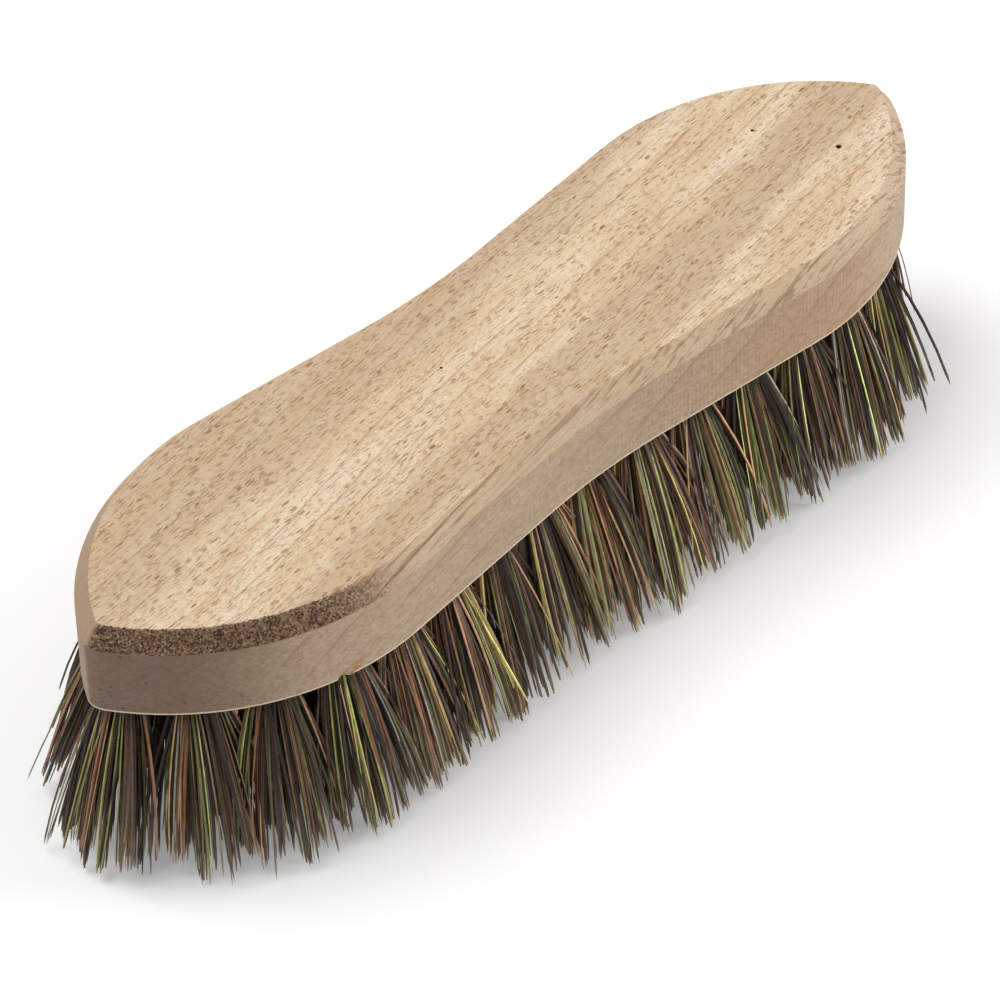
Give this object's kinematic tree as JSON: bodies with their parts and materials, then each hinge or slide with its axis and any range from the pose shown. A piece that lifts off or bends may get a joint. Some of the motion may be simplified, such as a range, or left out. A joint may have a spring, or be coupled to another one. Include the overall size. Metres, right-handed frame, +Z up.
{
  "type": "scrub brush",
  "caption": "Wooden hand scrub brush: a waisted block with two pointed ends and a chamfered top, holding anchored tufts of stiff mixed fibre that splay outward.",
  "frame": {"origin": "on the floor under the middle of the block, level with the tips of the bristles", "axes": "+X along the block from point to point, +Y across it, +Z up out of the flat top"},
  "size_m": [0.2402, 0.0776, 0.054],
  "materials": {
    "beech": "bare sanded beech, matt",
    "anchor_wire": "flat steel wire",
    "mixed_fibre": "stiff plant fibre, brown, tan and green mixed"
  },
  "bodies": {
    "root": {"block": "beech", "tuft_anchors": "anchor_wire", "outer_tuft_01": "mixed_fibre", "outer_tuft_02": "mixed_fibre", "outer_tuft_03": "mixed_fibre", "outer_tuft_04": "mixed_fibre", "outer_tuft_05": "mixed_fibre", "outer_tuft_06": "mixed_fibre", "outer_tuft_07": "mixed_fibre", "outer_tuft_08": "mixed_fibre", "outer_tuft_09": "mixed_fibre", "outer_tuft_10": "mixed_fibre", "outer_tuft_11": "mixed_fibre", "outer_tuft_12": "mixed_fibre", "outer_tuft_13": "mixed_fibre", "outer_tuft_14": "mixed_fibre", "outer_tuft_15": "mixed_fibre", "outer_tuft_16": "mixed_fibre", "outer_tuft_17": "mixed_fibre", "outer_tuft_18": "mixed_fibre", "outer_tuft_19": "mixed_fibre", "outer_tuft_20": "mixed_fibre", "outer_tuft_21": "mixed_fibre", "outer_tuft_22": "mixed_fibre", "outer_tuft_23": "mixed_fibre", "outer_tuft_24": "mixed_fibre", "outer_tuft_25": "mixed_fibre", "outer_tuft_26": "mixed_fibre", "outer_tuft_27": "mixed_fibre", "outer_tuft_28": "mixed_fibre", "outer_tuft_29": "mixed_fibre", "outer_tuft_30": "mixed_fibre", "outer_tuft_31": "mixed_fibre", "outer_tuft_32": "mixed_fibre", "inner_tuft_01": "mixed_fibre", "inner_tuft_02": "mixed_fibre", "inner_tuft_03": "mixed_fibre", "inner_tuft_04": "mixed_fibre", "inner_tuft_05": "mixed_fibre", "inner_tuft_06": "mixed_fibre", "inner_tuft_07": "mixed_fibre", "inner_tuft_08": "mixed_fibre", "inner_tuft_09": "mixed_fibre", "inner_tuft_10": "mixed_fibre", "inner_tuft_11": "mixed_fibre", "inner_tuft_12": "mixed_fibre", "inner_tuft_13": "mixed_fibre", "inner_tuft_14": "mixed_fibre", "inner_tuft_15": "mixed_fibre", "inner_tuft_16": "mixed_fibre", "inner_tuft_17": "mixed_fibre", "inner_tuft_18": "mixed_fibre", "inner_tuft_19": "mixed_fibre", "inner_tuft_20": "mixed_fibre", "inner_tuft_21": "mixed_fibre", "inner_tuft_22": "mixed_fibre", "centre_tuft_01": "mixed_fibre", "centre_tuft_02": "mixed_fibre", "centre_tuft_03": "mixed_fibre", "centre_tuft_04": "mixed_fibre"}
  },
  "joints": []
}
